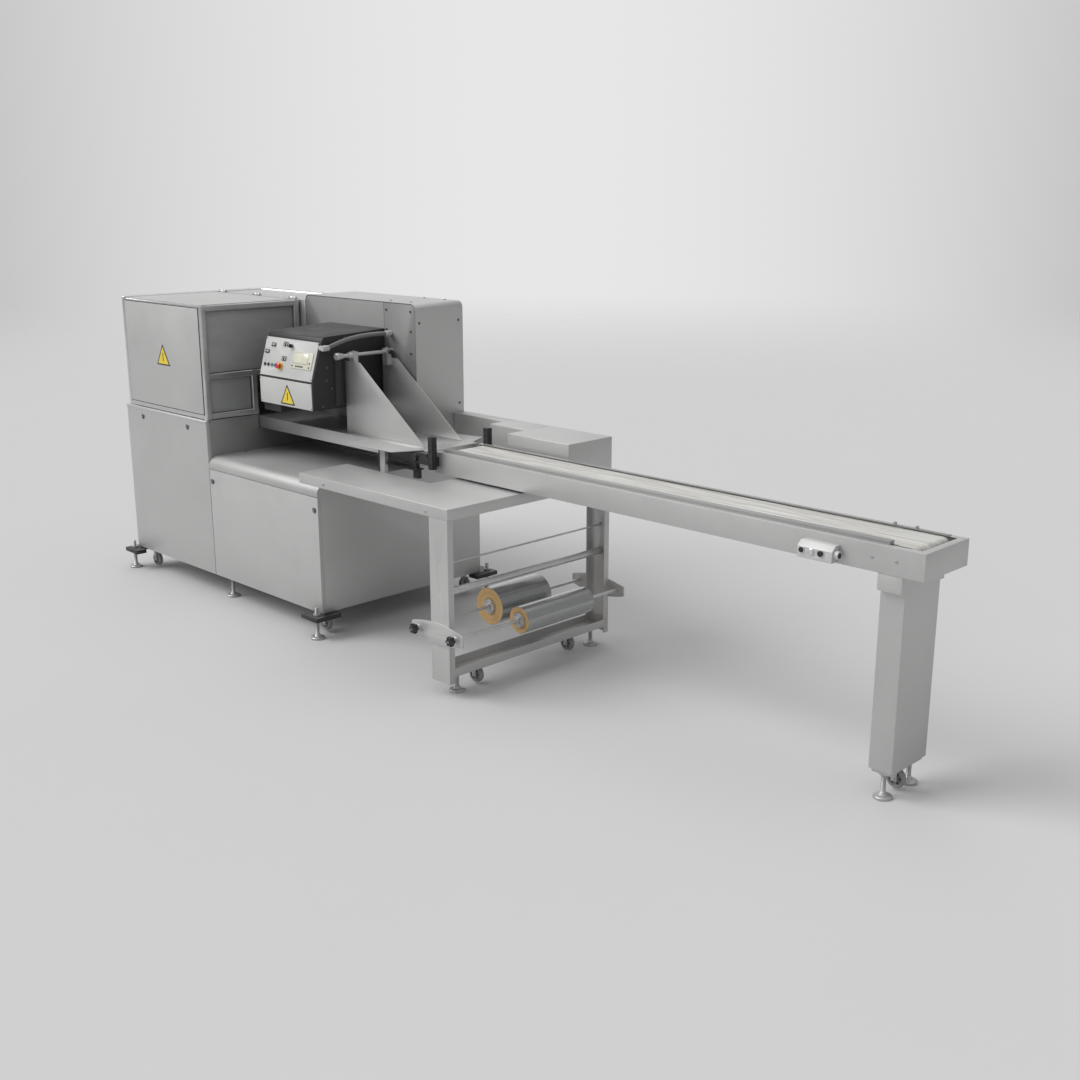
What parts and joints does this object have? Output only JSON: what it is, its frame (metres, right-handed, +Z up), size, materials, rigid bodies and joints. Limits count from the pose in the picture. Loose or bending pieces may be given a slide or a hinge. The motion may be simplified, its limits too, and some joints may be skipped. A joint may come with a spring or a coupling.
{
  "type": "form fill sealer",
  "caption": "Horizontal form, fill and seal wrapping machine with lift-up sealing hood, control box, product bed, long infeed conveyor and film stand.",
  "frame": {"origin": "centre of the footprint at floor level, under the feet", "axes": "+X along the conveyor away from the sealing cabinet, -Y towards the operator, +Z up"},
  "size_m": [4.588, 1.2119, 1.5],
  "materials": {
    "satin_steel": "satin",
    "front_panel_steel": "satin",
    "zinc_steel": "bright zinc",
    "black_steel": "satin black",
    "charcoal_paint": "fine-textured charcoal",
    "light_panel": "satin light grey",
    "aluminium_profile": "anodised",
    "smoked_window": "smoked polycarbonate",
    "ivory_plastic": "matt ivory",
    "grey_hose": "ribless hose",
    "black_rubber": "matt",
    "belt_cloth": "woven belt, streaked",
    "grey_wheel": "polyamide",
    "chrome_rod": "ground",
    "film": "wound clear film",
    "tool_steel": "ground",
    "motor_paint": "gloss blue-grey",
    "red_plastic": "gloss red",
    "black_plastic": "matt black",
    "green_plastic": "gloss green",
    "blue_plastic": "gloss blue"
  },
  "bodies": {
    "machine": {"cabinet_shell": "satin_steel", "base_shell": "satin_steel", "base_top_cover": "satin_steel", "front_panels": "front_panel_steel", "upper_housing": "satin_steel", "hood_rails": "aluminium_profile", "levelling_feet": "zinc_steel", "corner_plates": "black_steel", "casing_wrap": "satin_steel", "casing_panels": "satin_steel", "infeed_bed": "satin_steel", "bed_wings": "satin_steel", "guide_rod": "chrome_rod", "control_box": "charcoal_paint", "control_panels": "light_panel", "operator_display": "ivory_plastic", "conduit": "grey_hose", "bed_cable": "black_rubber", "transfer_brackets": "black_steel", "conveyor_frame": "satin_steel", "conveyor_belt": "belt_cloth", "conveyor_guide_rails": "satin_steel", "conveyor_leg": "satin_steel", "switch_box": "light_panel", "stand_frame": "satin_steel", "stand_shafts": "chrome_rod", "roll_end_plates": "satin_steel", "film_table": "satin_steel", "rear_covers": "satin_steel", "panel_screws": "zinc_steel", "jaw_frame": "tool_steel", "gearmotor": "motor_paint", "caster_forks": "zinc_steel"},
    "hood": {"hood_frame": "aluminium_profile", "hood_panels": "front_panel_steel", "hood_windows": "smoked_window"},
    "guide_front": {"guide_plate_front": "satin_steel"},
    "guide_rear": {"guide_plate_rear": "satin_steel"},
    "jaw_upper": {"upper_jaw": "tool_steel"},
    "jaw_lower": {"lower_jaw": "tool_steel"},
    "roll_rear": {"film_roll_rear": "film"},
    "roll_front": {"film_roll_front": "film"},
    "web_roller": {"guide_roller": "chrome_rod"},
    "belt_drive": {"drive_roller": "black_rubber"},
    "belt_tail": {"tail_roller": "chrome_rod"},
    "stop_mushroom": {"emergency_stop": "red_plastic"},
    "selector": {"selector_knob": "black_plastic"},
    "start_key": {"start_button": "black_plastic"},
    "stop_key": {"stop_button": "black_plastic"},
    "panel_key_1": {"panel_button_1": "black_plastic"},
    "panel_key_2": {"panel_button_2": "black_plastic"},
    "panel_key_3": {"panel_button_3": "green_plastic"},
    "panel_key_4": {"panel_button_4": "blue_plastic"},
    "wheel_1": {"caster_wheel_1": "grey_wheel"},
    "wheel_2": {"caster_wheel_2": "grey_wheel"},
    "wheel_3": {"caster_wheel_3": "grey_wheel"},
    "wheel_4": {"caster_wheel_4": "grey_wheel"},
    "wheel_5": {"caster_wheel_5": "grey_wheel"},
    "wheel_6": {"caster_wheel_6": "grey_wheel"},
    "wheel_7": {"caster_wheel_7": "grey_wheel"}
  },
  "joints": [
    {"name": "hood_lift", "type": "hinge", "parent": "machine", "child": "hood", "pos_m": [-1.85, 0.1255, 1.474], "axis": [-1, 0, 0], "range_deg": [0, 75]},
    {"name": "guide_front_slide", "type": "slide", "parent": "machine", "child": "guide_front", "axis": [0, 1, 0], "range_m": [0, 0.055]},
    {"name": "guide_rear_slide", "type": "slide", "parent": "machine", "child": "guide_rear", "axis": [0, -1, 0], "range_m": [0, 0.055]},
    {"name": "upper_jaw_press", "type": "slide", "parent": "machine", "child": "jaw_upper", "axis": [0, 0, -1], "range_m": [0, 0.0497]},
    {"name": "lower_jaw_press", "type": "slide", "parent": "machine", "child": "jaw_lower", "axis": [0, 0, 1], "range_m": [0, 0.0497]},
    {"name": "roll_rear_spin", "type": "hinge", "parent": "machine", "child": "roll_rear", "pos_m": [0.269, 0, 0.269], "axis": [0, 1, 0], "continuous": true},
    {"name": "roll_front_spin", "type": "hinge", "parent": "machine", "child": "roll_front", "pos_m": [0.497, 0, 0.269], "axis": [0, 1, 0], "continuous": true},
    {"name": "web_roller_spin", "type": "hinge", "parent": "machine", "child": "web_roller", "pos_m": [0.398, 0, 0.436], "axis": [0, 1, 0], "continuous": true},
    {"name": "drive_roller_spin", "type": "hinge", "parent": "machine", "child": "belt_drive", "pos_m": [-0.05, 0, 0.8673], "axis": [0, 1, 0], "continuous": true},
    {"name": "tail_roller_spin", "type": "hinge", "parent": "machine", "child": "belt_tail", "pos_m": [2.213, 0, 0.8673], "axis": [0, 1, 0], "continuous": true},
    {"name": "emergency_stop_press", "type": "slide", "parent": "machine", "child": "stop_mushroom", "axis": [0, 0.9572, -0.2893], "range_m": [0, 0.005], "stiffness_N_per_m": 1200},
    {"name": "selector_turn", "type": "hinge", "parent": "machine", "child": "selector", "pos_m": [-0.99, -0.26003, 1.29624], "axis": [0, -0.9572, 0.2893], "range_deg": [-45, 45]},
    {"name": "panel_key_1_press", "type": "slide", "parent": "machine", "child": "panel_key_1", "axis": [0, 0.9572, -0.2893], "range_m": [0, 0.003], "stiffness_N_per_m": 400},
    {"name": "panel_key_2_press", "type": "slide", "parent": "machine", "child": "panel_key_2", "axis": [0, 0.9572, -0.2893], "range_m": [0, 0.003], "stiffness_N_per_m": 400},
    {"name": "panel_key_3_press", "type": "slide", "parent": "machine", "child": "panel_key_3", "axis": [0, 0.9572, -0.2893], "range_m": [0, 0.003], "stiffness_N_per_m": 400},
    {"name": "panel_key_4_press", "type": "slide", "parent": "machine", "child": "panel_key_4", "axis": [0, 0.9572, -0.2893], "range_m": [0, 0.003], "stiffness_N_per_m": 400},
    {"name": "start_key_press", "type": "slide", "parent": "machine", "child": "start_key", "axis": [0, 1, 0], "range_m": [0, 0.004], "stiffness_N_per_m": 400},
    {"name": "stop_key_press", "type": "slide", "parent": "machine", "child": "stop_key", "axis": [0, 1, 0], "range_m": [0, 0.004], "stiffness_N_per_m": 400},
    {"name": "wheel_1_spin", "type": "hinge", "parent": "machine", "child": "wheel_1", "pos_m": [-2.165, -0.41, 0.046], "axis": [0, 1, 0], "continuous": true},
    {"name": "wheel_2_spin", "type": "hinge", "parent": "machine", "child": "wheel_2", "pos_m": [-0.6, -0.41, 0.046], "axis": [0, 1, 0], "continuous": true},
    {"name": "wheel_3_spin", "type": "hinge", "parent": "machine", "child": "wheel_3", "pos_m": [-2.165, 0.461, 0.046], "axis": [0, 1, 0], "continuous": true},
    {"name": "wheel_4_spin", "type": "hinge", "parent": "machine", "child": "wheel_4", "pos_m": [-0.6, 0.461, 0.046], "axis": [0, 1, 0], "continuous": true},
    {"name": "wheel_5_spin", "type": "hinge", "parent": "machine", "child": "wheel_5", "pos_m": [0.398, -0.364, 0.046], "axis": [0, 1, 0], "continuous": true},
    {"name": "wheel_6_spin", "type": "hinge", "parent": "machine", "child": "wheel_6", "pos_m": [0.398, 0.188, 0.046], "axis": [0, 1, 0], "continuous": true},
    {"name": "wheel_7_spin", "type": "hinge", "parent": "machine", "child": "wheel_7", "pos_m": [2.172, -0.016, 0.046], "axis": [0, 1, 0], "continuous": true}
  ],
  "couplings": [
    {"joint": "lower_jaw_press", "follows": "upper_jaw_press", "ratio": 1},
    {"joint": "tail_roller_spin", "follows": "drive_roller_spin", "ratio": 1}
  ]
}
